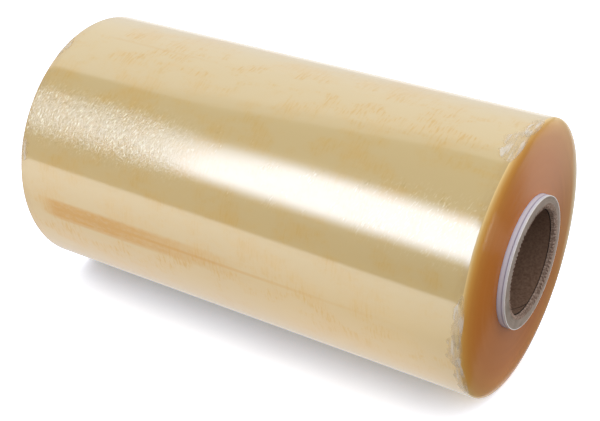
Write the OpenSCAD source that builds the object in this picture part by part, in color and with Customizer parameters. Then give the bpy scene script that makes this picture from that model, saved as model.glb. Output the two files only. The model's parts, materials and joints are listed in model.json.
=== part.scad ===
// A full roll of clear stretch film for wrapping meat, wound on a paperboard core.
// It lies on its side: X runs along the core, +Z is up, and the origin is on the
// table under the middle of the roll. Sizes are in millimetres.

/* [Film] */
// Width of the film, which is the length of the wound body
film_w = 381; // [200:1:600]
// Outside diameter of the full roll
roll_d = 203.2; // [150:0.1:300]
// Radial width of the rounding where the outer turns fall back at each end
shoulder_w = 12; // [4:0.5:20]
// How far the outermost turn falls back from the end face
shoulder_drop = 3.5; // [1:0.1:6]
// Width of the flat spot pressed by the roll's own weight
flat_w = 24; // [18:1:36]
// Slack between the first turn and the core
wind_gap = 0.05; // [0.02:0.01:0.3]

/* [Turns] */
// Number of bands of turns that show on each end face
band_count = 12; // [4:1:16]
// Greatest set-back of one band from the next
band_step = 0.3; // [0.1:0.05:0.8]

/* [Folds in the outer turns] */
// Radius of the back of a fold
fold_r = 6; // [3:0.5:12]
// Height of a fold over the turns around it
fold_h = 0.3; // [0.1:0.05:0.8]
// Distance from the left end of the film to where the folds start
fold_start = 32; // [10:1:60]

/* [Core] */
// Bore of the core, which takes the holder's spindle
bore_d = 76.2; // [50:0.1:100]
// Thickness of the dark inner ply
liner_t = 0.6; // [0.4:0.1:1]
// Thickness of the grey board plies together
board_t = 9.2; // [5:0.1:12]
// Thickness of the white outer ply
wrap_t = 0.5; // [0.3:0.1:1]
// Glue line between the plies
glue_t = 0.05; // [0.02:0.01:0.1]
// How far the core stands out of the film at each end
core_proud = 5.7; // [3:0.1:15]

/* [Core ends] */
// Depth of the worn bevel round the mouth of the bore
mouth_depth = 3; // [1:0.1:6]
// Widening of the mouth at the cut face
mouth_flare = 1.6; // [0.5:0.1:3]
// Number of board plies that can be told apart on the cut face
ply_count = 5; // [3:1:8]
// Width and depth of the line between two plies on the cut face
ply_line = 0.25; // [0.1:0.05:0.5]
// Distance of the trim line in the white ply from the core's end
trim_inset = 2.4; // [1:0.1:2.8]
// Depth of the trim line
trim_depth = 0.25; // [0.1:0.05:0.28]

/* [Spiral seam] */
// Width of the strip of paper that is wound into the inner ply
strip_w = 101.6; // [60:0.1:150]
// Width of the open butt seam between two turns of the strip
seam_w = 0.9; // [0.5:0.1:2]
// Depth of the seam
seam_depth = 0.35; // [0.1:0.05:0.38]
// Turn of the seam from straight down towards the back, where it meets the right end
seam_phase = 8; // [-180:1:180]

/* [Hidden] */
$fn = 90;

roll_r = roll_d / 2;
axis_z = sqrt(roll_r * roll_r - flat_w * flat_w / 4);

// Radii of the core from the bore outwards
bore_r = bore_d / 2;
liner_r = bore_r + liner_t;
board_in_r = liner_r + glue_t;
board_r = board_in_r + board_t;
wrap_in_r = board_r + glue_t;
wrap_r = wrap_in_r + wrap_t;
wound_r = wrap_r + wind_gap;

core_len = film_w + 2 * core_proud;
liner_len = core_len - 2 * mouth_depth;

// Steps that a quarter of the shoulder's oval is drawn in
shoulder_steps = 8;

// Folds that run along the roll: turn about the core from straight up towards
// the front, and start and end as a share of the stretch that can fold
fold_span = film_w - 2 * fold_start;
FOLDS = [
    [97.5, 0, 0.97],
    [102.5, 0, 0.38],
    [10, 0, 0.34],
];

// A cut is drawn this far past the solid that it is made in
over = 1;

// Lays what was drawn up the Z axis along X, at the height of the roll's axis
module lay() {
    translate([0, 0, axis_z])
        rotate([0, 90, 0])
            children();
}

// Both ends of a shape that was drawn for the upper one
module both_ends() {
    children();
    mirror([0, 0, 1])
        children();
}

// How far a band of turns is set back: neighbours differ, as they do where the
// film wandered on the winder
function set_back(i) = band_step * (0.5 + 0.5 * sin(i * 137.5));

module film_profile() {
    flat_r = roll_r - shoulder_w;
    band_w = (flat_r - wound_r) / band_count;
    edge_z = film_w / 2 - set_back(band_count - 1);
    bands = [
        for (i = [0 : band_count - 1], k = [0, 1])
            [wound_r + (i + k) * band_w, film_w / 2 - set_back(i)]
    ];
    shoulder = [
        for (k = [1 : shoulder_steps])
            let (t = 90 * k / shoulder_steps)
                [flat_r + shoulder_w * sin(t), edge_z - shoulder_drop * (1 - cos(t))]
    ];
    polygon(concat([[wound_r, 0]], bands, shoulder, [[roll_r, 0]]));
}

// One fold: a long low back with round ends, sunk into the turns
module fold(turn, from, to) {
    rotate([turn, 0, 0])
        translate([(from - 0.5) * fold_span, 0, roll_r + fold_h - fold_r]) {
            sphere(fold_r);
            translate([(to - from) * fold_span, 0, 0])
                sphere(fold_r);
            rotate([0, 90, 0])
                cylinder(h = (to - from) * fold_span, r = fold_r);
        }
}

module film_roll() {
    color("#E2CFA0")
        difference() {
            union() {
                lay()
                    both_ends()
                        rotate_extrude()
                            film_profile();
                translate([0, 0, axis_z])
                    for (f = FOLDS)
                        fold(f[0], f[1], f[2]);
            }
            translate([-film_w, -roll_d, -roll_d])
                cube([2 * film_w, 2 * roll_d, roll_d]);
        }
}

module core_board() {
    ply_t = board_t / ply_count;
    end_z = core_len / 2;
    lines = [
        for (i = [1 : ply_count - 1], k = [-1, 0, 1])
            let (r = board_in_r + i * ply_t)
                if (r - ply_line > board_in_r + mouth_flare)
                    [r + k * ply_line / 2, end_z - (k == 0 ? ply_line : 0)]
    ];
    color("#8F8172")
        lay()
            both_ends()
                rotate_extrude()
                    polygon(concat(
                        [[board_in_r, 0], [board_in_r, end_z - mouth_depth], [board_in_r + mouth_flare, end_z]],
                        lines,
                        [[board_r, end_z], [board_r, 0]]
                    ));
}

// The seam's cutter: a square rod bent into a helix by the winding of the strip
module spiral_seam() {
    lead = strip_w / cos(asin(strip_w / (PI * bore_d)));
    turns = liner_len / lead;
    rings = ceil(turns * 24);
    run = liner_len + 2 * over;
    corners = [[-over, -1], [seam_depth, -1], [seam_depth, 1], [-over, 1]];
    points = [
        for (i = [0 : rings], c = corners)
            let (x = -run / 2 + run * i / rings, a = seam_phase + (x - liner_len / 2) / lead * 360)
                [
                    (bore_r + c[0]) * cos(a),
                    (bore_r + c[0]) * sin(a),
                    x + c[1] * seam_w / 2
                ]
    ];
    sides = [
        for (i = [0 : rings - 1], k = [0 : 3])
            let (a = 4 * i + k, b = 4 * i + (k + 1) % 4)
                each [[a, b, b + 4], [a, b + 4, a + 4]]
    ];
    last = 4 * rings;
    polyhedron(
        points,
        concat([[2, 1, 0], [3, 2, 0]], sides, [[last, last + 1, last + 2], [last, last + 2, last + 3]])
    );
}

module core_liner() {
    color("#5A4334")
        lay()
            difference() {
                cylinder(h = liner_len, r = liner_r, center = true);
                cylinder(h = liner_len + 2 * over, r = bore_r, center = true);
                spiral_seam();
            }
}

module core_wrap() {
    line_z = core_len / 2 - trim_inset;
    color("#DAD7E2")
        lay()
            both_ends()
                rotate_extrude()
                    polygon([
                        [wrap_in_r, 0],
                        [wrap_in_r, core_len / 2],
                        [wrap_r, core_len / 2],
                        [wrap_r, line_z + trim_depth],
                        [wrap_r - trim_depth, line_z],
                        [wrap_r, line_z - trim_depth],
                        [wrap_r, 0],
                    ]);
}

film_roll();
core_board();
core_liner();
core_wrap();
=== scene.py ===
import json
import math

import bpy
from mathutils import Matrix, Vector


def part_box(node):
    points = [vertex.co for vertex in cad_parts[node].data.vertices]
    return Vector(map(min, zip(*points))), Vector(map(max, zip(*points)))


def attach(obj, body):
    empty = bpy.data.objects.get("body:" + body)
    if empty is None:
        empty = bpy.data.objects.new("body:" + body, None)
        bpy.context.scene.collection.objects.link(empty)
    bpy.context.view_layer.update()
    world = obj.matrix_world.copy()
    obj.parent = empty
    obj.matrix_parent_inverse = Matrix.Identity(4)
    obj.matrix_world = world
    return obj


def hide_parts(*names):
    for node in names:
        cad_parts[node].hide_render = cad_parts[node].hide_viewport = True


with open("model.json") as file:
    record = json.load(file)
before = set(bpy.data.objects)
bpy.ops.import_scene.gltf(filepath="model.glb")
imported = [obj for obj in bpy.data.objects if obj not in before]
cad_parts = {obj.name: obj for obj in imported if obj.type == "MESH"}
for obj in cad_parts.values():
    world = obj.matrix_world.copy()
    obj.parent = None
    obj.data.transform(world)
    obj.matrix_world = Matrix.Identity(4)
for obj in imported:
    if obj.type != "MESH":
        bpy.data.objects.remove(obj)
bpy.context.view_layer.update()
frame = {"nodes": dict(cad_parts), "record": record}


# Core board: the thick tube of grey-brown paperboard that the roll is wound on. It is laid up from
# glued strips and sawn to length, so its ends are fibrous, and the mouth of the bore is worn back.
MM = 0.001
AXIS_Z = next(m["pos_m"][2] for m in frame["record"]["mounts"] if m["name"] == "core_bore")
CORE_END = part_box("core_board")[1].x
BOARD_INNER_R = 38.75 * MM
BOARD_OUTER_R = 47.95 * MM
MOUTH_DEPTH = 3.0 * MM
MOUTH_FLARE = 1.6 * MM
MOUTH_POINTS = 8
FACE_POINTS = 26
PLY_COUNT = 5
PLY_LINE = 0.25 * MM
SAWN_FUZZ = 0.08 * MM
WORN_FUZZ = 0.35 * MM
BOARD_SEGMENTS = 720
TOOTH_COUNT = 89
TOOTH_DEPTH = 1.3 * MM
TOOTH_WANDER = 12.0
TOOTH_REACH = 0.7 * MM
SWEEP_R = 0.1


def linear(hex_colour):
    """An sRGB hex colour as the linear RGBA that a shader takes."""
    parts = [int(hex_colour[i:i + 2], 16) / 255 for i in (1, 3, 5)]
    return [c / 12.92 if c <= 0.04045 else ((c + 0.055) / 1.055) ** 2.4 for c in parts] + [1.0]


def add(tree, kind, inputs=(), stops=(), **settings):
    """Adds a node, makes its settings, gives a colour ramp its stops, and feeds the inputs, by name or
    in order, with values, hex colours, other nodes or their outputs."""
    made = tree.nodes.new(kind)
    for name, value in settings.items():
        setattr(made, name, value)
    for i, (where, colour) in enumerate(stops):
        stop = made.color_ramp.elements[i] if i < 2 else made.color_ramp.elements.new(where)
        stop.position = where
        stop.color = linear(colour)
    by_name = isinstance(inputs, dict)
    slots = made.inputs if by_name else [slot for slot in made.inputs if slot.enabled]
    for name, value in inputs.items() if by_name else enumerate(inputs):
        if isinstance(value, bpy.types.Node):
            value = next(output for output in value.outputs if output.enabled)
        if isinstance(value, bpy.types.NodeSocket):
            tree.links.new(value, slots[name])
        elif isinstance(value, str) and value[0] == "#":
            slots[name].default_value = linear(value)
        else:
            slots[name].default_value = value
    return made


def new_material(name):
    """An empty node material and its tree."""
    material = bpy.data.materials.new(name)
    material.use_nodes = True
    material.node_tree.nodes.clear()
    return material, material.node_tree


def new_shape(name, **inputs):
    """An empty tree that shapes an outline, its named inputs, and what its group input gives."""
    kinds = {int: "NodeSocketInt", float: "NodeSocketFloat", tuple: "NodeSocketVector",
             type(None): "NodeSocketMaterial"}
    tree = bpy.data.node_groups.new(name, "GeometryNodeTree")
    tree.interface.new_socket("Outline", in_out="INPUT", socket_type="NodeSocketGeometry")
    for title, value in inputs.items():
        socket = tree.interface.new_socket(title, in_out="INPUT", socket_type=kinds[type(value)])
        if value is not None:
            socket.default_value = value
    tree.interface.new_socket("Piece", in_out="OUTPUT", socket_type="NodeSocketGeometry")
    return tree, tree.nodes.new("NodeGroupInput").outputs


def turned_shape():
    """A group that turns an outline about the core, and roughens it where the outline says so."""
    tree, given = new_shape("turned about the core", Segments=360, Grain=(500.0, 500.0, 500.0))
    circle = add(tree, "GeometryNodeCurvePrimitiveCircle", {
        "Resolution": given["Segments"], "Radius": SWEEP_R,
    })
    outline = add(tree, "GeometryNodeMeshToCurve", (given["Outline"],))
    swept = add(tree, "GeometryNodeCurveToMesh", {"Curve": circle, "Profile Curve": outline})
    laid = add(tree, "GeometryNodeTransform", {
        "Geometry": swept, "Translation": (0, 0, AXIS_Z), "Rotation": (0, -math.pi / 2, 0),
    })
    place = add(tree, "GeometryNodeInputPosition")
    grains = add(tree, "ShaderNodeVectorMath", (place, given["Grain"]), operation="MULTIPLY")
    noise = add(tree, "ShaderNodeTexNoise", {"Vector": grains, "Scale": 1.0, "Detail": 3.0})
    either = add(tree, "ShaderNodeMapRange", (noise, 0.0, 1.0, -1.0, 1.0), clamp=False)
    rough = add(tree, "GeometryNodeInputNamedAttribute", {"Name": "rough"}, data_type="FLOAT")
    height = add(tree, "ShaderNodeMath", (either, rough), operation="MULTIPLY")
    outwards = add(tree, "GeometryNodeInputNormal")
    offset = add(tree, "ShaderNodeVectorMath", (outwards, height), operation="SCALE")
    worn = add(tree, "GeometryNodeSetPosition", {"Geometry": laid, "Offset": offset})
    add(tree, "NodeGroupOutput", (worn,))
    return tree


TURNED = turned_shape()


def outline_object(name, points):
    """An object that holds a closed outline for a modifier to turn. Each point is its place along the
    core, its radius, and how rough the surface is there. The outline runs from right to left outside."""
    mesh = bpy.data.meshes.new(name)
    count = len(points)
    edges = [(i, (i + 1) % count) for i in range(count)]
    mesh.from_pydata([(r - SWEEP_R, x, 0) for x, r, rough in reversed(points)], edges, [])
    fuzz = [rough for x, r, rough in reversed(points)]
    mesh.attributes.new("rough", "FLOAT", "POINT").data.foreach_set("value", fuzz)
    piece = bpy.data.objects.new(name, mesh)
    bpy.context.scene.collection.objects.link(piece)
    return piece


def made_by(piece, tree, **values):
    """Runs a node tree on a piece and keeps the result as its plain mesh."""
    modifier = piece.modifiers.new("made", "NODES")
    modifier.node_group = tree
    sockets = {s.name: s.identifier for s in tree.interface.items_tree if s.in_out == "INPUT"}
    for name, value in values.items():
        modifier[sockets[name]] = value
    bpy.context.view_layer.update()
    result = piece.evaluated_get(bpy.context.evaluated_depsgraph_get())
    mesh = bpy.data.meshes.new_from_object(result)
    piece.modifiers.clear()
    piece.data = mesh
    return piece


def board_outline():
    """The sawn tube's section: the worn mouth, the end face with its plies, and back along the outside."""
    ply = (BOARD_OUTER_R - BOARD_INNER_R) / PLY_COUNT
    mouth_r = BOARD_INNER_R + MOUTH_FLARE
    points = []
    for i in range(MOUTH_POINTS + 1):
        share = i / MOUTH_POINTS
        worn = WORN_FUZZ * math.sin(math.pi * min(share + 0.2, 1)) + SAWN_FUZZ * share
        x = CORE_END - MOUTH_DEPTH * (1 - share) ** 1.3
        points.append((x, BOARD_INNER_R + MOUTH_FLARE * share, worn))
    for i in range(1, FACE_POINTS + 1):
        r = mouth_r + (BOARD_OUTER_R - mouth_r) * i / FACE_POINTS
        near = min(abs(r - BOARD_INNER_R - ply * k) for k in range(1, PLY_COUNT))
        x = CORE_END - PLY_LINE * max(0, 1 - near / PLY_LINE)
        points.append((x, r, SAWN_FUZZ if i < FACE_POINTS else 0))
    points += [(CORE_END * 0.5, BOARD_OUTER_R, 0), (0, BOARD_OUTER_R, 0)]
    return points + [(-x, r, rough) for x, r, rough in reversed(points[:-1])]


def about_the_core(tree, place):
    """Where a place lies: its coordinates off the core's middle, its turn about it and its radius. The
    turn is 0 at the front of the roll and a quarter turn on top."""
    off = add(tree, "ShaderNodeVectorMath", (place, (0, 0, AXIS_Z)), operation="SUBTRACT")
    at = add(tree, "ShaderNodeSeparateXYZ", (off,)).outputs
    back = add(tree, "ShaderNodeMath", (at["Y"], -1.0), operation="MULTIPLY")
    turn = add(tree, "ShaderNodeMath", (at["Z"], back), operation="ARCTAN2")
    about = add(tree, "ShaderNodeVectorMath", (off, (0, 1, 1)), operation="MULTIPLY")
    return at, turn, add(tree, "ShaderNodeVectorMath", (about,), operation="LENGTH").outputs["Value"]


def tooth_wave(tree, place, turn):
    """The saw's teeth round a mouth: 1 in a gap and -1 on a tooth, at an uneven pace."""
    wander = add(tree, "ShaderNodeTexNoise", {"Vector": place, "Scale": 1 / (5 * MM), "Detail": 2.0})
    phase = add(tree, "ShaderNodeMath", (turn, TOOTH_COUNT), operation="MULTIPLY")
    phase = add(tree, "ShaderNodeMath", (wander, TOOTH_WANDER, phase), operation="MULTIPLY_ADD")
    return add(tree, "ShaderNodeMath", (phase,), operation="SINE")


def core_board_material():
    """Grey-brown paperboard, sawn: matt and smooth to the eye, with short pale fibres at the worn mouth, and
    painted shade in the gaps of its teeth and in its bore.
    """
    material, tree = new_material("sawn_paperboard")
    place = add(tree, "ShaderNodeTexCoord").outputs["Object"]
    at, turn, radius = about_the_core(tree, place)
    fibres = add(tree, "ShaderNodeTexNoise", {"Vector": place, "Scale": 1 / (1.1 * MM), "Detail": 4.0})
    clouds = add(tree, "ShaderNodeTexNoise", {"Vector": place, "Scale": 1 / (9 * MM), "Detail": 2.0})
    face = add(tree, "ShaderNodeValToRGB", (clouds,), stops=((0.3, "#95887D"), (0.7, "#A99A8F")))
    worn = add(tree, "ShaderNodeValToRGB", (fibres,), stops=((0.34, "#82695A"), (0.66, "#BCA496")))
    mouth_r = BOARD_INNER_R + MOUTH_FLARE
    # The board is worn further out on the side away from the front
    wear = add(tree, "ShaderNodeMapRange", (at["Y"], -5 * MM, 25 * MM, 0.8 * MM, 3 * MM))
    out = add(tree, "ShaderNodeMath", (radius, mouth_r), operation="SUBTRACT")
    out = add(tree, "ShaderNodeMath", (out, wear), operation="DIVIDE")
    ragged = add(tree, "ShaderNodeMath", (fibres, 0.8, -0.4), operation="MULTIPLY_ADD")
    out = add(tree, "ShaderNodeMath", (out, ragged), operation="ADD")
    mouth = add(tree, "ShaderNodeMapRange", (out, 1.25, 0.75), interpolation_type="SMOOTHSTEP")
    colour = add(tree, "ShaderNodeMix", (mouth, face, worn), data_type="RGBA")
    # Painted shade: the gaps between the saw's teeth at the mouth are darkened
    gap = add(tree, "ShaderNodeMapRange", (tooth_wave(tree, place, turn), -0.2, 0.6, 0.0, 0.45))
    gap = add(tree, "ShaderNodeMath", (gap, mouth), operation="MULTIPLY")
    colour = add(tree, "ShaderNodeMix", (gap, colour, "#5A483C"), data_type="RGBA")
    # Painted shade: the board's inner surface, seen only through the inner ply's seam, is dark where shade
    # falls in the bore
    within = add(tree, "ShaderNodeMath", (radius, BOARD_INNER_R + 0.2 * MM), operation="LESS_THAN")
    reach = add(tree, "ShaderNodeMath", (at["X"],), operation="ABSOLUTE")
    deep = add(tree, "ShaderNodeMath", (reach, CORE_END - MOUTH_DEPTH), operation="LESS_THAN")
    seam_shade = add(tree, "ShaderNodeMath", (within, deep), operation="MULTIPLY")
    colour = add(tree, "ShaderNodeMix", (seam_shade, colour, "#1C110B"), data_type="RGBA")
    bump = add(tree, "ShaderNodeBump", {"Height": fibres, "Distance": 0.3 * MM, "Strength": 0.6})
    shader = add(tree, "ShaderNodeBsdfPrincipled", {
        "Base Color": colour, "Roughness": 0.9, "IOR": 1.4, "Normal": bump,
    })
    add(tree, "ShaderNodeOutputMaterial", (shader,))
    return material


def core_board_tree():
    """Turns the board's outline and cuts the saw's small teeth into the rim of its mouth."""
    tree, given = new_shape("core board", Segments=360, Finish=None)
    turned = add(tree, "GeometryNodeGroup", node_tree=TURNED)
    tree.links.new(given["Outline"], turned.inputs["Outline"])
    tree.links.new(given["Segments"], turned.inputs["Segments"])
    turned.inputs["Grain"].default_value = (1 / (1.4 * MM),) * 3
    place = add(tree, "GeometryNodeInputPosition")
    _, turn, radius = about_the_core(tree, place)
    mouth_r = BOARD_INNER_R + MOUTH_FLARE
    off = add(tree, "ShaderNodeMath", (radius, mouth_r, TOOTH_REACH), operation="COMPARE")
    depth = add(tree, "ShaderNodeMath", (tooth_wave(tree, place, turn), off), operation="MULTIPLY")
    depth = add(tree, "ShaderNodeMath", (depth, TOOTH_DEPTH / BOARD_INNER_R), operation="MULTIPLY")
    about = add(tree, "ShaderNodeVectorMath", (place, (0, 0, AXIS_Z)), operation="SUBTRACT")
    about = add(tree, "ShaderNodeVectorMath", (about, (0, 1, 1)), operation="MULTIPLY")
    offset = add(tree, "ShaderNodeVectorMath", (about, depth), operation="SCALE")
    toothed = add(tree, "GeometryNodeSetPosition", {"Geometry": turned, "Offset": offset})
    smooth = add(tree, "GeometryNodeSetShadeSmooth", {"Geometry": toothed})
    plain = add(tree, "GeometryNodeRealizeInstances", {"Geometry": smooth})
    add(tree, "NodeGroupOutput", (add(tree, "GeometryNodeSetMaterial", {
        "Geometry": plain, "Material": given["Finish"],
    }),))
    return tree


core_board = outline_object("core_board_fibrous", board_outline())
made_by(core_board, core_board_tree(), Segments=BOARD_SEGMENTS, Finish=core_board_material())
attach(core_board, "root")
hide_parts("core_board")


# Mouth fibres: torn paper fibres that stand up round the worn mouth of the board, where shafts and
# chucks have rubbed it. They are part of the board, and about a millimetre long at most.
FIBRE_COUNT = 300
FIBRE_LENGTH = 1.1 * MM
FIBRE_W = 0.2 * MM
FIBRE_STRAY = 0.9 * MM


def mouth_fibres_tree():
    """Small spikes on a ring round each mouth, which lean in towards the bore at random."""
    tree, given = new_shape(
        "mouth fibres", Count=FIBRE_COUNT, Length=FIBRE_LENGTH, Width=FIBRE_W, Finish=None)
    ring_r = BOARD_INNER_R + MOUTH_FLARE * 0.7
    ring = add(tree, "GeometryNodeCurvePrimitiveCircle", {"Resolution": 64, "Radius": ring_r})
    points = add(tree, "GeometryNodeCurveToPoints", {"Curve": ring, "Count": given["Count"]})
    stray = add(tree, "FunctionNodeRandomValue", {
        0: (-FIBRE_STRAY, -FIBRE_STRAY, -0.2 * MM), 1: (FIBRE_STRAY, FIBRE_STRAY, 1.2 * MM), "Seed": 3,
    }, data_type="FLOAT_VECTOR")
    strewn = add(tree, "GeometryNodeSetPosition", {"Geometry": points, "Offset": stray})
    spike = add(tree, "GeometryNodeMeshCone", {
        "Vertices": 4, "Radius Top": 0.0, "Radius Bottom": given["Width"], "Depth": given["Length"],
    }, fill_type="NONE")
    place = add(tree, "GeometryNodeInputPosition")
    inwards = add(tree, "ShaderNodeVectorMath", (place, -1 / ring_r), operation="SCALE")
    lean = add(tree, "FunctionNodeRandomValue", {
        0: (-1.2, -1.2, -1.0), 1: (1.2, 1.2, 0.2), "Seed": 5,
    }, data_type="FLOAT_VECTOR")
    way = add(tree, "ShaderNodeVectorMath", (inwards, lean), operation="ADD")
    turn = add(tree, "FunctionNodeAlignRotationToVector", {"Vector": way}, axis="Z")
    size = add(tree, "FunctionNodeRandomValue", {2: 0.35, 3: 1.0, "Seed": 8}, data_type="FLOAT")
    fibres = add(tree, "GeometryNodeInstanceOnPoints", {
        "Points": strewn, "Instance": spike, "Rotation": turn, "Scale": size,
    })
    ends = [add(tree, "GeometryNodeTransform", {
        "Geometry": fibres,
        "Translation": (side * (CORE_END - MOUTH_DEPTH * 0.25), 0, AXIS_Z),
        "Rotation": (0, -side * math.pi / 2, 0),
    }) for side in (1, -1)]
    both = add(tree, "GeometryNodeJoinGeometry", (ends[0],))
    tree.links.new(ends[1].outputs[0], both.inputs[0])
    plain = add(tree, "GeometryNodeRealizeInstances", {"Geometry": both})
    add(tree, "NodeGroupOutput", (add(tree, "GeometryNodeSetMaterial", {
        "Geometry": plain, "Material": given["Finish"],
    }),))
    return tree


def torn_fibre_material():
    """Torn paper fibre: matt and paler than the pressed board."""
    material, tree = new_material("torn_paper_fibre")
    place = add(tree, "ShaderNodeTexCoord").outputs["Object"]
    tones = add(tree, "ShaderNodeTexNoise", {"Vector": place, "Scale": 1 / (2 * MM), "Detail": 2.0})
    colour = add(tree, "ShaderNodeValToRGB", (tones,), stops=((0.35, "#8D7766"), (0.65, "#B4A092")))
    shader = add(tree, "ShaderNodeBsdfPrincipled", {"Base Color": colour, "Roughness": 0.9, "IOR": 1.4})
    add(tree, "ShaderNodeOutputMaterial", (shader,))
    return material


mouth_fibres = outline_object("core_mouth_fibres", [(0, BOARD_INNER_R, 0), (0, BOARD_OUTER_R, 0)])
made_by(mouth_fibres, mouth_fibres_tree(), Count=FIBRE_COUNT, Length=FIBRE_LENGTH, Width=FIBRE_W,
        Finish=torn_fibre_material())
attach(mouth_fibres, "root")


# Inner ply: the strip of dark brown kraft paper that lines the bore. It is wound first, edge to edge,
# so its open butt seam runs down the bore as a helix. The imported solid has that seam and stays.
LINER_R = 38.1 * MM
LINER_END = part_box("core_liner")[1].x
STRIP_W = 101.6 * MM
SEAM_W = 0.9 * MM
SEAM_PHASE = 8.0


def core_liner_material():
    """Dark brown kraft paper: matt, faintly mottled, with painted shade in its seam and along its cut ends.
    """
    material, tree = new_material("kraft_paper")
    place = add(tree, "ShaderNodeTexCoord").outputs["Object"]
    at, turn, _ = about_the_core(tree, place)
    clouds = add(tree, "ShaderNodeTexNoise", {"Vector": place, "Scale": 1 / (1.8 * MM), "Detail": 4.0})
    colour = add(tree, "ShaderNodeValToRGB", (clouds,), stops=((0.3, "#6D5241"), (0.7, "#876C5A")))
    # How far round the bore a point is from the helix of the seam
    lead = STRIP_W / math.cos(math.asin(STRIP_W / (math.tau * LINER_R)))
    along = add(tree, "ShaderNodeMath", (at["X"], LINER_END), operation="SUBTRACT")
    seam = add(tree, "ShaderNodeMath", (along, math.tau / lead, turn), operation="MULTIPLY_ADD")
    off = add(tree, "ShaderNodeMath", (seam, math.radians(SEAM_PHASE - 270)), operation="ADD")
    off = add(tree, "ShaderNodeMath", (off, 0.5), operation="MULTIPLY")
    off = add(tree, "ShaderNodeMath", (off,), operation="SINE")
    off = add(tree, "ShaderNodeMath", (off,), operation="ABSOLUTE")
    # Painted shade: the colour darkens along the open seam and at the ply's cut end, where it steps back
    # from the mouth
    crack = add(tree, "ShaderNodeMapRange", (off, SEAM_W * 0.6 / LINER_R, SEAM_W * 0.3 / LINER_R))
    reach = add(tree, "ShaderNodeMath", (at["X"],), operation="ABSOLUTE")
    rim = add(tree, "ShaderNodeMapRange", (reach, LINER_END - 0.6 * MM, LINER_END - 0.2 * MM))
    dark = add(tree, "ShaderNodeMath", (crack, rim), operation="MAXIMUM")
    colour = add(tree, "ShaderNodeMix", (dark, colour, "#160C07"), data_type="RGBA")
    rough = add(tree, "ShaderNodeTexNoise", {"Vector": place, "Scale": 1 / (0.7 * MM), "Detail": 3.0})
    bump = add(tree, "ShaderNodeBump", {"Height": rough, "Distance": 0.15 * MM, "Strength": 0.5})
    shader = add(tree, "ShaderNodeBsdfPrincipled", {
        "Base Color": colour, "Roughness": 0.85, "IOR": 1.4, "Normal": bump,
    })
    add(tree, "ShaderNodeOutputMaterial", (shader,))
    return material


def dress(node, material):
    """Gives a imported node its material."""
    slots = frame["nodes"][node].data.materials
    slots.clear()
    slots.append(material)


dress("core_liner", core_liner_material())


# Outer ply: smooth white paper, glued round the core. It stands out of the film with the core. Its colour
# has a dark line near each end, and painted shade where it meets the film.
WRAP_SHOWN = 6 * MM
# From the cut end to the film: whitest at the end, a dark line, then painted shade towards the film
WRAP_STOPS = (
    (0.0, "#FFFFFF"), (0.1, "#F4F8FF"), (0.3, "#EBF0FF"), (0.38, "#B0A6BE"), (0.43, "#B0A6BE"),
    (0.52, "#EDEDFA"), (0.8, "#EAE7F6"), (1.0, "#CCC4D8"),
)


def core_wrap_material():
    """Smooth white paper with a lilac cast and a slight sheen. Its colour has a dark line near its ends and
    painted shade towards the film.
    """
    material, tree = new_material("white_cover_paper")
    place = add(tree, "ShaderNodeTexCoord").outputs["Object"]
    at, _, _ = about_the_core(tree, place)
    reach = add(tree, "ShaderNodeMath", (at["X"],), operation="ABSOLUTE")
    share = add(tree, "ShaderNodeMapRange", (reach, CORE_END, CORE_END - WRAP_SHOWN))
    colour = add(tree, "ShaderNodeValToRGB", (share,), stops=WRAP_STOPS)
    rough = add(tree, "ShaderNodeTexNoise", {"Vector": place, "Scale": 1 / (1.5 * MM), "Detail": 3.0})
    bump = add(tree, "ShaderNodeBump", {"Height": rough, "Distance": 0.05 * MM, "Strength": 0.5})
    shader = add(tree, "ShaderNodeBsdfPrincipled", {
        "Base Color": colour, "Roughness": 0.45, "IOR": 1.5, "Normal": bump,
    })
    add(tree, "ShaderNodeOutputMaterial", (shader,))
    return material


dress("core_wrap", core_wrap_material())


# Wound film: about 3200 turns of clear stretch film. The stack of turns mirrors like a pile of glass
# plates, so it looks like pale gold, and on edge it is deep amber, paler towards the rim. The places of
# its marks are given along the roll, and in degrees of turn up from the front.
ROLL_R = 101.6 * MM
FILM_END = 190.5 * MM
WOUND_R = 48.55 * MM
SHOULDER_W = 12.0 * MM
SHOULDER_DROP = 3.5 * MM
BAND_COUNT = 12
BAND_STEP = 0.3 * MM
BAND_SHOWN = 0.2
BAND_POINTS = 6
BODY_STEPS = 96
SHOULDER_STEPS = 14
FILM_SEGMENTS = 360
FILM_WAVE = 0.03 * MM
FOLD_H = 0.04 * MM
FOLD_W = 4.0 * MM
FOLDS = (
    {"turn": -7.5, "start": -158.5 * MM, "end": 149 * MM, "stain": 0.8},
    {"turn": -12.5, "start": -158.5 * MM, "end": -38 * MM, "stain": 0.45},
    {"turn": 80.0, "start": -158.5 * MM, "end": -50 * MM, "stain": 0.16},
)
MOTTLES = ((78, 15), (-15, 13))
STAIN_TURN = -7.6
STAIN_SPREAD = 5.6, 3.4
GLINT_TURN = 35
GLINT_SPREAD = 17, 6
EDGE_DEPTH = 55 * MM
EDGE_LEAN = 0.16


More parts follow.
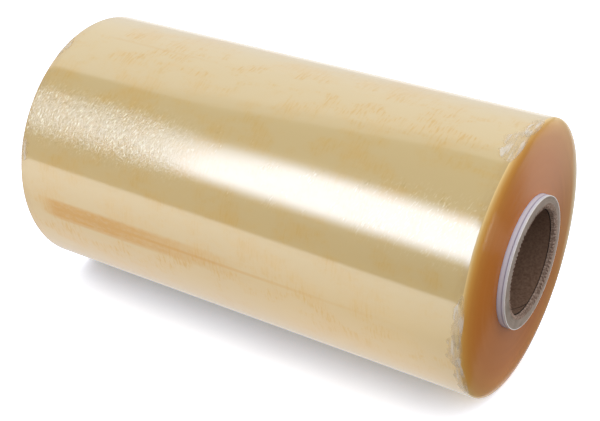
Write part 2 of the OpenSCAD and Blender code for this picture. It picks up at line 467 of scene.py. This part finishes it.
def film_outline():
    """The wound film's section: right end face from the core outwards, shoulder, body, and back."""
    flat_r = ROLL_R - SHOULDER_W
    band = (flat_r - WOUND_R) / BAND_COUNT
    backs = [BAND_STEP * (0.5 + 0.5 * math.sin(math.radians(i * 137.5))) for i in range(BAND_COUNT)]
    points = []
    for i in range(BAND_COUNT * BAND_POINTS):
        share = i / BAND_POINTS
        k = min(int(share), BAND_COUNT - 2)
        blend = 0.5 - 0.5 * math.cos(math.pi * min(share - k, 1.0))
        back = backs[k] * (1 - blend) + backs[k + 1] * blend
        x = FILM_END - BAND_STEP / 2 + (BAND_STEP / 2 - back) * BAND_SHOWN
        points.append((x, WOUND_R + share * band, 0))
    face_x = points[-1][0]
    for i in range(1, SHOULDER_STEPS + 1):
        t = math.pi / 2 * i / SHOULDER_STEPS
        x = face_x - SHOULDER_DROP * (1 - math.cos(t))
        points.append((x, flat_r + SHOULDER_W * math.sin(t), FILM_WAVE))
    body_end = points[-1][0]
    half = BODY_STEPS // 2
    points += [(body_end * (1 - i / half), ROLL_R, FILM_WAVE) for i in range(1, half + 1)]
    return points + [(-x, r, rough) for x, r, rough in reversed(points[:-1])]


def grains_per(along_mm, around_mm):
    """What a place is multiplied by for noise whose grains measure so much along and around the core."""
    return 1 / (along_mm * MM), 1 / (around_mm * MM), 1 / (around_mm * MM)


def turn_from(tree, turn, degrees):
    """How far a turn lies, either way, from one given in degrees."""
    off = add(tree, "ShaderNodeMath", (turn, math.radians(degrees)), operation="SUBTRACT")
    return add(tree, "ShaderNodeMath", (off,), operation="ABSOLUTE")


def film_side_material():
    """Wound stretch film seen through its turns: pale gold, mirror-bright, with fine wrinkles, and painted
    glints at its highlight.
    """
    material, tree = new_material("wound_stretch_film")
    place = add(tree, "ShaderNodeTexCoord").outputs["Object"]
    at, turn, _ = about_the_core(tree, place)
    reach = add(tree, "ShaderNodeMath", (at["X"],), operation="ABSOLUTE")
    grains = add(tree, "ShaderNodeVectorMath", (place, grains_per(34, 24)), operation="MULTIPLY")
    clouds = add(tree, "ShaderNodeTexNoise", {
        "Vector": grains, "Scale": 1.0, "Detail": 4.0, "Roughness": 0.65,
    })
    warm = add(tree, "ShaderNodeMapRange", (clouds, 0.4, 0.75), interpolation_type="SMOOTHSTEP")
    colour = add(tree, "ShaderNodeMix", (warm, "#D6BE89", "#D8B878"), data_type="RGBA")
    # Hairlines round the roll, drawn at 1.6 mm so that they show, where the turns lie close
    grains = add(tree, "ShaderNodeVectorMath", (place, grains_per(1.6, 9)), operation="MULTIPLY")
    hairs = add(tree, "ShaderNodeTexNoise", {"Vector": grains, "Scale": 1.0, "Detail": 3.0})
    hairs = add(tree, "ShaderNodeMapRange", (hairs, 0.45, 0.7), interpolation_type="SMOOTHSTEP")
    cloudy = add(tree, "ShaderNodeMapRange", (clouds, 0.46, 0.6), interpolation_type="SMOOTHSTEP")
    for middle, spread in MOTTLES:
        near = add(tree, "ShaderNodeMapRange", (
            turn_from(tree, turn, middle), math.radians(spread), math.radians(spread * 0.3), 0.1, 0.62,
        ))
        share = add(tree, "ShaderNodeMath", (near, cloudy), operation="MULTIPLY")
        share = add(tree, "ShaderNodeMath", (share, hairs), operation="MULTIPLY")
        colour = add(tree, "ShaderNodeMix", (share, colour, "#CE9E1C"), data_type="RGBA")
    # The folds show as brown lines, with a stained band about the lower two that fades to the right
    band = add(tree, "ShaderNodeMapRange", (
        turn_from(tree, turn, STAIN_TURN), *map(math.radians, STAIN_SPREAD),
    ), interpolation_type="SMOOTHSTEP")
    fade = add(tree, "ShaderNodeMapRange", (at["X"], 40 * MM, -110 * MM), interpolation_type="SMOOTHSTEP")
    start = add(tree, "ShaderNodeMapRange", (at["X"], -174 * MM, -152 * MM), interpolation_type="SMOOTHSTEP")
    stain = add(tree, "ShaderNodeMath", (band, fade), operation="MULTIPLY")
    stain = add(tree, "ShaderNodeMath", (stain, start), operation="MULTIPLY")
    grains = add(tree, "ShaderNodeVectorMath", (place, grains_per(5, 2.4)), operation="MULTIPLY")
    dots = add(tree, "ShaderNodeTexNoise", {"Vector": grains, "Scale": 1.0, "Detail": 3.0, "Roughness": 0.6})
    dots = add(tree, "ShaderNodeMapRange", (dots, 0.3, 0.65, 0.7, 1.0), interpolation_type="SMOOTHSTEP")
    stain = add(tree, "ShaderNodeMath", (stain, dots), operation="MULTIPLY")
    colour = add(tree, "ShaderNodeMix", (stain, colour, "#CD981E"), data_type="RGBA")
    for fold in FOLDS:
        line = add(tree, "ShaderNodeMapRange", (
            turn_from(tree, turn, fold["turn"]), math.radians(1.2), math.radians(0.2), 0.0, fold["stain"],
        ), interpolation_type="SMOOTHSTEP")
        begin = add(tree, "ShaderNodeMapRange", (at["X"], fold["start"] - 4 * MM, fold["start"] + 8 * MM))
        cease = add(tree, "ShaderNodeMapRange", (at["X"], fold["end"] + 4 * MM, fold["start"] + 60 * MM))
        line = add(tree, "ShaderNodeMath", (line, begin), operation="MULTIPLY")
        line = add(tree, "ShaderNodeMath", (line, cease), operation="MULTIPLY")
        colour = add(tree, "ShaderNodeMix", (line, colour, "#CC961A"), data_type="RGBA")
    # Painted light: low down and towards the right end the colour is lighter and yellower
    lower_right_light = add(tree, "ShaderNodeMapRange", (at["X"], 0.0, 150 * MM, 0.0, 0.35))
    low = add(tree, "ShaderNodeMapRange", (turn, math.radians(15), math.radians(-5)))
    lower_right_light = add(tree, "ShaderNodeMath", (lower_right_light, low), operation="MULTIPLY")
    colour = add(tree, "ShaderNodeMix", (lower_right_light, colour, "#F4D488"), data_type="RGBA")
    # The last turns are loose and milky at the roll's ends
    grains = add(tree, "ShaderNodeVectorMath", (place, grains_per(3, 9)), operation="MULTIPLY")
    loose = add(tree, "ShaderNodeTexNoise", {"Vector": grains, "Scale": 1.0, "Detail": 3.0})
    loose = add(tree, "ShaderNodeMapRange", (loose, 0.3, 0.6), interpolation_type="SMOOTHSTEP")
    milky = add(tree, "ShaderNodeMapRange", (reach, 178 * MM, 187 * MM, 0.0, 0.25),
                interpolation_type="SMOOTHSTEP")
    milky = add(tree, "ShaderNodeMath", (milky, loose), operation="MULTIPLY")
    colour = add(tree, "ShaderNodeMix", (milky, colour, "#BE9A66"), data_type="RGBA")
    rim = add(tree, "ShaderNodeMapRange", (at["X"], -186.2 * MM, -187.4 * MM, 0.0, 0.6))
    colour = add(tree, "ShaderNodeMix", (rim, colour, "#A67A58"), data_type="RGBA")
    # Fine slanting crumples frost the left end of the highlight, and painted glints fleck both its ends
    left = add(tree, "ShaderNodeMapRange", (at["X"], -5 * MM, -100 * MM), interpolation_type="SMOOTHSTEP")
    patch = add(tree, "ShaderNodeMapRange", (
        turn_from(tree, turn, GLINT_TURN), *map(math.radians, GLINT_SPREAD),
    ), interpolation_type="SMOOTHSTEP")
    frosted = add(tree, "ShaderNodeMath", (patch, left), operation="MULTIPLY")
    slanted = add(tree, "ShaderNodeMapping", {
        "Vector": place, "Rotation": (0, 0.45, 0), "Scale": (0.7 * MM, 1.8 * MM, 1.8 * MM),
    }, vector_type="TEXTURE")
    crumples = add(tree, "ShaderNodeTexNoise", {"Vector": slanted, "Scale": 1.0, "Detail": 2.0})
    height = add(tree, "ShaderNodeMath", (crumples, frosted), operation="MULTIPLY")
    bump = add(tree, "ShaderNodeBump", {"Height": height, "Distance": 0.38 * MM, "Strength": 1.0})
    dull = add(tree, "ShaderNodeMapRange", (frosted, 0.0, 1.0, 0.1, 0.2))
    grains = add(tree, "ShaderNodeVectorMath", (place, grains_per(14, 12)), operation="MULTIPLY")
    strays = add(tree, "ShaderNodeTexNoise", {"Vector": grains, "Scale": 1.0, "Detail": 2.0})
    strays = add(tree, "ShaderNodeMapRange", (strays, 0.58, 0.7, 0.0, 0.7))
    strays = add(tree, "ShaderNodeMath", (strays, patch), operation="MULTIPLY")
    creased = add(tree, "ShaderNodeMath", (frosted, strays), operation="MAXIMUM")
    slanted = add(tree, "ShaderNodeMapping", {
        "Vector": place, "Rotation": (0, 0.45, 0), "Scale": (1.1 * MM, 3.6 * MM, 3.6 * MM),
    }, vector_type="TEXTURE")
    creases = add(tree, "ShaderNodeTexNoise", {"Vector": slanted, "Scale": 1.0, "Detail": 2.0})
    # Painted glints: light flecks where the creases are
    light = add(tree, "ShaderNodeMapRange", (creases, 0.56, 0.7, 0.0, 0.85))
    right = add(tree, "ShaderNodeMapRange", (at["X"], 90 * MM, 130 * MM, 0.0, 0.45))
    right = add(tree, "ShaderNodeMath", (right, patch), operation="MULTIPLY")
    right = add(tree, "ShaderNodeMath", (right, creased), operation="MAXIMUM")
    light = add(tree, "ShaderNodeMath", (light, right), operation="MULTIPLY")
    colour = add(tree, "ShaderNodeMix", (light, colour, "#FFF6D0"), data_type="RGBA")
    # Painted shade: dark flecks among the creases
    dark = add(tree, "ShaderNodeMapRange", (creases, 0.46, 0.32, 0.0, 0.55))
    dark = add(tree, "ShaderNodeMath", (dark, creased), operation="MULTIPLY")
    colour = add(tree, "ShaderNodeMix", (dark, colour, "#A88A3C"), data_type="RGBA")
    shader = add(tree, "ShaderNodeBsdfPrincipled", {
        "Base Color": colour, "Roughness": dull, "IOR": 2.35, "Normal": bump,
        "Coat Weight": 0.5, "Coat Roughness": 0.28, "Coat IOR": 1.5, "Sheen Weight": 0.15,
    })
    add(tree, "ShaderNodeOutputMaterial", (shader,))
    return material


def film_edge_material():
    """The cut edges of the turns: amber, grooved like a record, paler at the rim, with painted light at the
    rim behind. Each edge leans outwards a little, as it curls when the film is slit, so light catches the
    turns in fans."""
    material, tree = new_material("stretch_film_on_edge")
    place = add(tree, "ShaderNodeTexCoord").outputs["Object"]
    at, _, radius = about_the_core(tree, place)
    depth = add(tree, "ShaderNodeMapRange", (radius, ROLL_R, ROLL_R - EDGE_DEPTH))
    # Painted light: the pale rim reaches deeper in towards the back, as if lit from behind
    behind = add(tree, "ShaderNodeMapRange", (at["Y"], 0.0, ROLL_R, 1.0, 0.3))
    depth = add(tree, "ShaderNodeMath", (depth, behind), operation="MULTIPLY")
    colour = add(tree, "ShaderNodeValToRGB", (depth,), stops=(
        (0.0, "#EACD92"), (0.03, "#DFB064"), (0.08, "#D69A4A"), (0.18, "#CC8739"), (0.4, "#C5782C"),
        (1.0, "#BD6E27"),
    ))
    # Painted light: the few turns at the rim behind are paler, for light coming through them
    through = add(tree, "ShaderNodeMapRange", (at["Y"], 74 * MM, 92 * MM, 0.0, 0.9))
    edge = add(tree, "ShaderNodeMapRange", (radius, 85 * MM, 92 * MM))
    through = add(tree, "ShaderNodeMath", (through, edge), operation="MULTIPLY")
    colour = add(tree, "ShaderNodeMix", (through, colour, "#FFE9BE"), data_type="RGBA")
    turns = add(tree, "ShaderNodeMath", (radius, 0.9 * MM), operation="DIVIDE")
    turns = add(tree, "ShaderNodeTexNoise", {"W": turns, "Scale": 1.0, "Detail": 2.0}, noise_dimensions="1D")
    turns = add(tree, "ShaderNodeMapRange", (turns, 0.0, 1.0, 0.0, 0.04))
    colour = add(tree, "ShaderNodeMix", (turns, colour, "#C98F55"), data_type="RGBA")
    lean = add(tree, "ShaderNodeMath", (radius, -EDGE_LEAN), operation="MULTIPLY")
    bump = add(tree, "ShaderNodeBump", {"Height": lean, "Distance": 1.0, "Strength": 1.0})
    tangent = add(tree, "ShaderNodeTangent", direction_type="RADIAL", axis="X")
    shader = add(tree, "ShaderNodeBsdfPrincipled", {
        "Base Color": colour, "Roughness": 0.17, "IOR": 1.45, "Anisotropic": 0.95,
        "Anisotropic Rotation": 0.25, "Tangent": tangent, "Normal": bump,
    })
    add(tree, "ShaderNodeOutputMaterial", (shader,))
    return material


def film_roll_tree():
    """Turns the film's outline, raises the folds, presses the flat spot and sets both materials."""
    tree, given = new_shape("wound film", Segments=360, Side=None, Edge=None)
    turned = add(tree, "GeometryNodeGroup", node_tree=TURNED)
    tree.links.new(given["Outline"], turned.inputs["Outline"])
    tree.links.new(given["Segments"], turned.inputs["Segments"])
    turned.inputs["Grain"].default_value = grains_per(40, 25)
    place = add(tree, "GeometryNodeInputPosition")
    at, turn, radius = about_the_core(tree, place)
    outside = add(tree, "ShaderNodeMath", (radius, ROLL_R - 0.5 * MM), operation="GREATER_THAN")
    height = 0.0
    for fold in FOLDS:
        lift = add(tree, "ShaderNodeMapRange", (
            turn_from(tree, turn, fold["turn"]), FOLD_W / ROLL_R, 0.0, 0.0, FOLD_H,
        ), interpolation_type="SMOOTHSTEP")
        begin = add(tree, "ShaderNodeMapRange", (at["X"], fold["start"] - 3 * MM, fold["start"] + 6 * MM))
        cease = add(tree, "ShaderNodeMapRange", (at["X"], fold["end"] + 3 * MM, fold["end"] - 6 * MM))
        lift = add(tree, "ShaderNodeMath", (lift, begin), operation="MULTIPLY")
        lift = add(tree, "ShaderNodeMath", (lift, cease), operation="MULTIPLY")
        height = add(tree, "ShaderNodeMath", (lift, outside, height), operation="MULTIPLY_ADD")
    outwards = add(tree, "GeometryNodeInputNormal")
    offset = add(tree, "ShaderNodeVectorMath", (outwards, height), operation="SCALE")
    folded = add(tree, "GeometryNodeSetPosition", {"Geometry": turned, "Offset": offset})
    # Nothing reaches below what the roll lies on, which leaves its small flat spot
    pressed = add(tree, "ShaderNodeVectorMath", (place, (-1.0, -1.0, 0.0)), operation="MAXIMUM")
    pressed = add(tree, "GeometryNodeSetPosition", {"Geometry": folded, "Position": pressed})
    smooth = add(tree, "GeometryNodeSetShadeSmooth", {"Geometry": pressed})
    plain = add(tree, "GeometryNodeRealizeInstances", {"Geometry": smooth})
    side = add(tree, "GeometryNodeSetMaterial", {"Geometry": plain, "Material": given["Side"]})
    facing = add(tree, "ShaderNodeSeparateXYZ", (add(tree, "GeometryNodeInputNormal"),)).outputs["X"]
    facing = add(tree, "ShaderNodeMath", (facing,), operation="ABSOLUTE")
    ends = add(tree, "ShaderNodeMath", (facing, 0.3), operation="GREATER_THAN")
    add(tree, "NodeGroupOutput", (add(tree, "GeometryNodeSetMaterial", {
        "Geometry": side, "Selection": ends, "Material": given["Edge"],
    }),))
    return tree


film_roll = outline_object("wound_film", film_outline())
made_by(film_roll, film_roll_tree(), Segments=FILM_SEGMENTS, Side=film_side_material(),
        Edge=film_edge_material())
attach(film_roll, "root")
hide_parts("film_roll")


# Loose turns: at the roll's ends the outermost film has come away here and there, in thin milky
# slivers that ruffle over the shoulder. They are the same film as the rest, a few layers thick.
LOOSE_THICK = 0.05 * MM
LOOSE_LIFT = 0.2 * MM
LOOSE_RUFFLE = 0.22 * MM
LOOSE_STEP = 0.35
LOOSE_COLUMNS = 16
LOOSE_OVER = 0.4
LOOSE_TURNS = (
    {"end": 1, "start": 66, "stop": 86, "reach": 15, "seed": 1.0},
    {"end": 1, "start": 81, "stop": 99, "reach": 6, "seed": 2.3},
    {"end": 1, "start": -9, "stop": 14, "reach": 6, "seed": 3.1},
    {"end": 1, "start": -19, "stop": -2, "reach": 10, "seed": 4.7},
    {"end": 1, "start": -42, "stop": -14, "reach": 5, "seed": 5.2},
    {"end": -1, "start": 11, "stop": 22, "reach": 9, "seed": 6.6},
    {"end": -1, "start": 60, "stop": 74, "reach": 5, "seed": 7.9},
)


def loose_turns_mesh():
    """One strip for each sliver, from its ragged inner edge over the shoulder."""
    points, across, faces = [], [], []
    flat_r = ROLL_R - SHOULDER_W
    body_end = FILM_END - SHOULDER_DROP
    for sliver in LOOSE_TURNS:
        rows = int((sliver["stop"] - sliver["start"]) / LOOSE_STEP)
        for i in range(rows + 1):
            share = i / rows
            turn = math.radians(sliver["start"] + (sliver["stop"] - sliver["start"]) * share)
            ragged = 0.8 + 0.14 * math.sin(turn * 37 + sliver["seed"]) + 0.06 * math.sin(turn * 97)
            reach = sliver["reach"] * MM * math.sqrt(math.sin(math.pi * share)) * ragged
            over = LOOSE_OVER * math.sqrt(math.sin(math.pi * share))
            first = len(points)
            for k in range(LOOSE_COLUMNS + 1):
                step = k / LOOSE_COLUMNS * (1 + over) - 1
                t = math.pi / 2 * (1 - max(step, 0))
                x = body_end + min(step, 0) * reach + SHOULDER_DROP * math.cos(t)
                r = flat_r + SHOULDER_W * math.sin(t)
                points.append((sliver["end"] * x, -r * math.cos(turn), AXIS_Z + r * math.sin(turn)))
                across.append((step + 1) * reach)
                if i and k:
                    faces.append((first + k, first + k - 1, first + k - 2 - LOOSE_COLUMNS,
                                  first + k - 1 - LOOSE_COLUMNS)[::sliver["end"]])
    mesh = bpy.data.meshes.new("loose_film_turns")
    mesh.from_pydata(points, [], faces)
    mesh.attributes.new("across", "FLOAT", "POINT").data.foreach_set("value", across)
    return mesh


def loose_turns_tree():
    """Lifts the strips off the roll, ruffles them and gives them their thickness."""
    tree, given = new_shape(
        "loose turns", Lift=LOOSE_LIFT, Ruffle=LOOSE_RUFFLE, Thickness=LOOSE_THICK, Finish=None)
    place = add(tree, "GeometryNodeInputPosition")
    grains = add(tree, "ShaderNodeVectorMath", (place, grains_per(3.5, 8.0)), operation="MULTIPLY")
    noise = add(tree, "ShaderNodeTexNoise", {"Vector": grains, "Scale": 1.0, "Detail": 2.0})
    ruffle = add(tree, "ShaderNodeMapRange", (noise, 0.3, 0.7, 0.0, given["Ruffle"]))
    height = add(tree, "ShaderNodeMath", (ruffle, given["Lift"]), operation="ADD")
    outwards = add(tree, "GeometryNodeInputNormal")
    offset = add(tree, "ShaderNodeVectorMath", (outwards, height), operation="SCALE")
    lifted = add(tree, "GeometryNodeSetPosition", {"Geometry": given["Outline"], "Offset": offset})
    outer = add(tree, "GeometryNodeExtrudeMesh", {
        "Mesh": lifted, "Offset Scale": given["Thickness"], "Individual": False,
    }, mode="FACES")
    inner = add(tree, "GeometryNodeFlipFaces", {"Mesh": lifted})
    both = add(tree, "GeometryNodeJoinGeometry", (outer,))
    tree.links.new(inner.outputs[0], both.inputs[0])
    closed = add(tree, "GeometryNodeMergeByDistance", {"Geometry": both, "Distance": LOOSE_THICK / 10})
    smooth = add(tree, "GeometryNodeSetShadeSmooth", {"Geometry": closed})
    plain = add(tree, "GeometryNodeRealizeInstances", {"Geometry": smooth})
    add(tree, "NodeGroupOutput", (add(tree, "GeometryNodeSetMaterial", {
        "Geometry": plain, "Material": given["Finish"],
    }),))
    return tree


def loose_film_material():
    """A few layers of stretch film with air between them: half clear, milky, and glossy on its creases."""
    material, tree = new_material("loose_stretch_film")
    place = add(tree, "ShaderNodeTexCoord").outputs["Object"]
    grains = add(tree, "ShaderNodeVectorMath", (place, grains_per(2.4, 14)), operation="MULTIPLY")
    creases = add(tree, "ShaderNodeTexNoise", {"Vector": grains, "Scale": 1.0, "Detail": 1.0})
    colour = add(tree, "ShaderNodeValToRGB", (creases,), stops=(
        (0.34, "#DCC6A0"), (0.5, "#EADCC4"), (0.66, "#F8F3EA"),
    ))
    across = add(tree, "ShaderNodeAttribute", attribute_name="across").outputs["Fac"]
    brink = add(tree, "ShaderNodeMapRange", (across, 0.9 * MM, 0.3 * MM))
    colour = add(tree, "ShaderNodeMix", (brink, colour, "#ECD2A0"), data_type="RGBA")
    clear = add(tree, "ShaderNodeMapRange", (creases, 0.35, 0.65, 0.06, 0.36))
    faint = add(tree, "ShaderNodeMath", (brink, -0.3, 1.0), operation="MULTIPLY_ADD")
    clear = add(tree, "ShaderNodeMath", (clear, faint), operation="MULTIPLY")
    bump = add(tree, "ShaderNodeBump", {"Height": creases, "Distance": 0.2 * MM, "Strength": 0.25})
    shader = add(tree, "ShaderNodeBsdfPrincipled", {
        "Base Color": colour, "Roughness": 0.3, "IOR": 1.5, "Alpha": clear, "Normal": bump,
    })
    add(tree, "ShaderNodeOutputMaterial", (shader,))
    return material


loose_turns = bpy.data.objects.new("loose_film_turns", loose_turns_mesh())
bpy.context.scene.collection.objects.link(loose_turns)
made_by(loose_turns, loose_turns_tree(), Thickness=LOOSE_THICK, Finish=loose_film_material())
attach(loose_turns, "root")


# Table: the white sheet that the roll lies on, which the film mirrors. Its near edge shows in the film
# as the sharp lower edge of the dark band, and its slanting right edge in the end face as the edge of
# the haze. The camera sees only the ground, which is white and keeps the shadow.
TABLE_CORNERS = ((-3.0, -1.64), (0.15, -0.508), (0.205, -0.06), (0.5, 0.45), (1.1, 1.4), (1.2, 3.0),
                 (-3.0, 3.0))
GROUND_CORNERS = ((-3.0, -3.0), (3.0, -3.0), (3.0, 3.0), (-3.0, 3.0))
MIRROR_SPLIT = 0.19
SHADOW_REACH = 0.05
VIEW_TURN = math.radians(32.349)


def sheet_object(name, corners, height, material):
    """A flat sheet."""
    mesh = bpy.data.meshes.new(name)
    mesh.from_pydata([(x, y, height) for x, y in corners], [], [range(len(corners))])
    mesh.materials.append(material)
    sheet = bpy.data.objects.new(name, mesh)
    bpy.context.scene.collection.objects.link(sheet)
    return sheet


def table_material():
    """White laminate. To mirrored rays it glows, with a painted shadow near the roll's foot and painted
    light under the soft light; to other rays it has a faint painted glow.
    """
    material, tree = new_material("white_laminate")
    place = add(tree, "ShaderNodeTexCoord").outputs["Object"]
    at = add(tree, "ShaderNodeSeparateXYZ", (place,)).outputs
    away = add(tree, "ShaderNodeMath", (at["Y"],), operation="ABSOLUTE")
    # The body mirrors only what lies left of the split, and the end face what lies right of it
    beyond = add(tree, "ShaderNodeMapRange", (at["X"], MIRROR_SPLIT, 0.43, 0.3, 0.95))
    beside = add(tree, "ShaderNodeMath", (at["X"], MIRROR_SPLIT), operation="LESS_THAN")
    beyond = add(tree, "ShaderNodeMix", (beside, beyond, 1.1), data_type="FLOAT")
    # Painted shadow: darker close to the roll, brighter further out
    foot_shadow_ramp = add(tree, "ShaderNodeValToRGB", (away,), stops=(
        (0.08, "#D6D6D6"), (0.11, "#CECECE"), (0.16, "#C0C0C0"), (0.25, "#E6E6E6"), (0.42, "#FFFFFF"),
    ))
    mirrored = add(tree, "ShaderNodeEmission", {"Color": foot_shadow_ramp, "Strength": beyond})
    matt = add(tree, "ShaderNodeBsdfDiffuse", {"Color": "#F4E8DA"})
    # Painted light: a faint glow that the other rays see
    glow = add(tree, "ShaderNodeEmission", {"Color": "#FFF0DC", "Strength": 0.15})
    lit = add(tree, "ShaderNodeAddShader", (matt, glow))
    ray = add(tree, "ShaderNodeLightPath").outputs["Is Glossy Ray"]
    both = add(tree, "ShaderNodeMixShader", (ray, lit, mirrored))
    add(tree, "ShaderNodeOutputMaterial", (both,))
    return material


def ground_material():
    """White to the camera wherever no shadow falls, with the shadow a neutral grey, deepened near the roll
    by ambient occlusion in its colour.
    """
    material, tree = new_material("white_ground")
    closeness = add(tree, "ShaderNodeAmbientOcclusion", {"Distance": SHADOW_REACH}, samples=8)
    open_air = closeness.outputs["AO"]
    away = add(tree, "ShaderNodeMapRange", (open_air, 0.12, 0.55))
    place = add(tree, "ShaderNodeTexCoord").outputs["Object"]
    at = add(tree, "ShaderNodeSeparateXYZ", (place,)).outputs
    # Painted light: the shadow is lightened towards the right end
    beyond = add(tree, "ShaderNodeMapRange", (at["X"], 0.135, 0.185, 0.0, 0.6),
                 interpolation_type="SMOOTHSTEP")
    away = add(tree, "ShaderNodeMath", (away, beyond), operation="MAXIMUM")
    tint = add(tree, "ShaderNodeMix", (away, "#CDDEFF", "#E6EFFF"), data_type="RGBA")
    gain = add(tree, "ShaderNodeMapRange", (away, 0.0, 1.0, 1.38, 1.85))
    colour = add(tree, "ShaderNodeVectorMath", (tint, gain), operation="SCALE")
    add(tree, "ShaderNodeOutputMaterial", (add(tree, "ShaderNodeBsdfDiffuse", {"Color": colour}),))
    return material


table = sheet_object("table", TABLE_CORNERS, -0.4 * MM, table_material())
table.visible_camera = False
ground = sheet_object("ground", GROUND_CORNERS, -0.2 * MM, ground_material())
ground.visible_diffuse = False
ground.visible_glossy = False
ground.visible_transmission = False
ground.visible_shadow = False


# Studio: a white backdrop behind and to the left, a dark room in front and overhead, and one soft
# light to the left of the camera. Only mirrored rays see the difference; the rest is even light.
# The soft light's edges are in degrees of rise and swing, each from where it begins to where it is full.
BOX_EDGES = (("rise", 12, 23.5), ("rise", 52, 39), ("swing", -141.5, -126), ("swing", -80, -95))
BOX_STRENGTH = 4.5
BACKDROP_EDGE = (-1.515, 1.0, -1.076)
LAMP_WAY = Vector((0.735, 0.595, -0.32)).normalized()
LAMP_STRENGTH = 3.5


def studio_light():
    """Sets the world's light: what is mirrored, what lights the roll, and white to the camera."""
    world = bpy.data.worlds.new("studio")
    bpy.context.scene.world = world
    world.use_nodes = True
    tree = world.node_tree
    tree.nodes.clear()
    way = add(tree, "ShaderNodeTexCoord").outputs["Generated"]
    at = add(tree, "ShaderNodeSeparateXYZ", (way,)).outputs
    # The backdrop's top edge is double, and each edge is a plane through the roll
    over = add(tree, "ShaderNodeVectorMath", (way, BACKDROP_EDGE), operation="DOT_PRODUCT")
    first = add(tree, "ShaderNodeMapRange", (over, -0.03, 0.03, 0.42, 0.7), interpolation_type="SMOOTHSTEP")
    bend = add(tree, "ShaderNodeMapRange", (at["X"], -0.56, -0.36, 0.0, 0.32))
    second = add(tree, "ShaderNodeMath", (at["Y"], bend), operation="SUBTRACT")
    second = add(tree, "ShaderNodeMapRange", (second, -0.125, -0.075), interpolation_type="SMOOTHSTEP")
    backdrop = add(tree, "ShaderNodeMath", (first, second), operation="MULTIPLY")
    # Below the horizon on the right it is dark, where the end face looks past the table
    low = add(tree, "ShaderNodeMapRange", (at["Z"], -0.05, 0.05))
    left = add(tree, "ShaderNodeMapRange", (at["X"], -0.05, -0.25))
    open_to = add(tree, "ShaderNodeMath", (low, left), operation="MAXIMUM")
    backdrop = add(tree, "ShaderNodeMath", (backdrop, open_to), operation="MULTIPLY")
    # The soft light
    rise = add(tree, "ShaderNodeMath", (at["Z"],), operation="ARCSINE")
    swing = add(tree, "ShaderNodeMath", (at["Y"], at["X"]), operation="ARCTAN2")
    angles = {"rise": rise, "swing": swing}
    box = BOX_STRENGTH
    for angle, none, full in BOX_EDGES:
        edge = add(tree, "ShaderNodeMapRange", (angles[angle], math.radians(none), math.radians(full)),
                   interpolation_type="SMOOTHSTEP")
        box = add(tree, "ShaderNodeMath", (edge, box), operation="MULTIPLY")
    # A narrow lamp to the right, which only the end face mirrors
    lamp = add(tree, "ShaderNodeVectorMath", (way, LAMP_WAY), operation="DOT_PRODUCT")
    lamp = add(tree, "ShaderNodeMapRange", (lamp, 0.9975, 0.9992, 0.0, LAMP_STRENGTH),
               interpolation_type="SMOOTHSTEP")
    mirrored = add(tree, "ShaderNodeMath", (box, 0.04), operation="ADD")
    for part in (backdrop, lamp):
        mirrored = add(tree, "ShaderNodeMath", (mirrored, part), operation="ADD")
    # Below the horizon the floor is dim, and darkest in front of the table
    ahead = (math.sin(VIEW_TURN), -math.cos(VIEW_TURN), 0)
    front = add(tree, "ShaderNodeVectorMath", (way, ahead), operation="DOT_PRODUCT")
    floor = add(tree, "ShaderNodeMapRange", (front, 0.1, 0.5, 0.3, 0.05), interpolation_type="SMOOTHSTEP")
    sky = add(tree, "ShaderNodeMapRange", (at["Z"], 0.3, 1.0, 1.25, 1.05))
    under = add(tree, "ShaderNodeMapRange", (at["Z"], 0.08, -0.02), interpolation_type="SMOOTHSTEP")
    even = add(tree, "ShaderNodeMix", (under, sky, floor), data_type="FLOAT")
    ray = add(tree, "ShaderNodeLightPath").outputs
    level = add(tree, "ShaderNodeMix", (ray["Is Glossy Ray"], even, mirrored), data_type="FLOAT")
    shown = add(tree, "ShaderNodeMix", (ray["Is Camera Ray"], level, 1.0), data_type="FLOAT")
    cool = add(tree, "ShaderNodeMath", (ray["Is Glossy Ray"], box), operation="MULTIPLY")
    colour = add(tree, "ShaderNodeMix", (cool, "#FFFFFF", "#DCEAFF"), data_type="RGBA")
    background = add(tree, "ShaderNodeBackground", {"Color": colour, "Strength": shown})
    add(tree, "ShaderNodeOutputWorld", (background,))


studio_light()


# Camera: where the photograph was taken from, fitted to the outline of the roll in it. It looks a
# little past the middle of the core, by a pan and a tip.
CAMERA_LENS = 70.517
CAMERA_DISTANCE = 906.7 * MM
CAMERA_RISE = math.radians(28.039)
CAMERA_PAN = math.radians(0.26956)
CAMERA_TIP = math.radians(-0.90465)


def turned_towards(one, other, angle):
    """Two ways at right angles, turned from the first towards the second."""
    return math.cos(angle) * one + math.sin(angle) * other, math.cos(angle) * other - math.sin(angle) * one


def photo_camera():
    """Makes the camera and looks through it."""
    data = bpy.data.cameras.new("photo_camera")
    data.sensor_width = 36.0
    data.lens = CAMERA_LENS
    camera = bpy.data.objects.new("photo_camera", data)
    bpy.context.scene.collection.objects.link(camera)
    level = math.cos(CAMERA_RISE)
    back = Vector((math.sin(VIEW_TURN) * level, -math.cos(VIEW_TURN) * level, math.sin(CAMERA_RISE)))
    right = Vector((math.cos(VIEW_TURN), math.sin(VIEW_TURN), 0))
    up = back.cross(right)
    ahead, right = turned_towards(-back, right, CAMERA_PAN)
    ahead, up = turned_towards(ahead, up, CAMERA_TIP)
    turn = Matrix((right, up, -ahead)).transposed()
    place = Matrix.Translation(back * CAMERA_DISTANCE + Vector((0, 0, AXIS_Z)))
    camera.matrix_world = place @ turn.to_4x4()
    bpy.context.scene.camera = camera


photo_camera()
bpy.context.scene.view_settings.view_transform = "Standard"
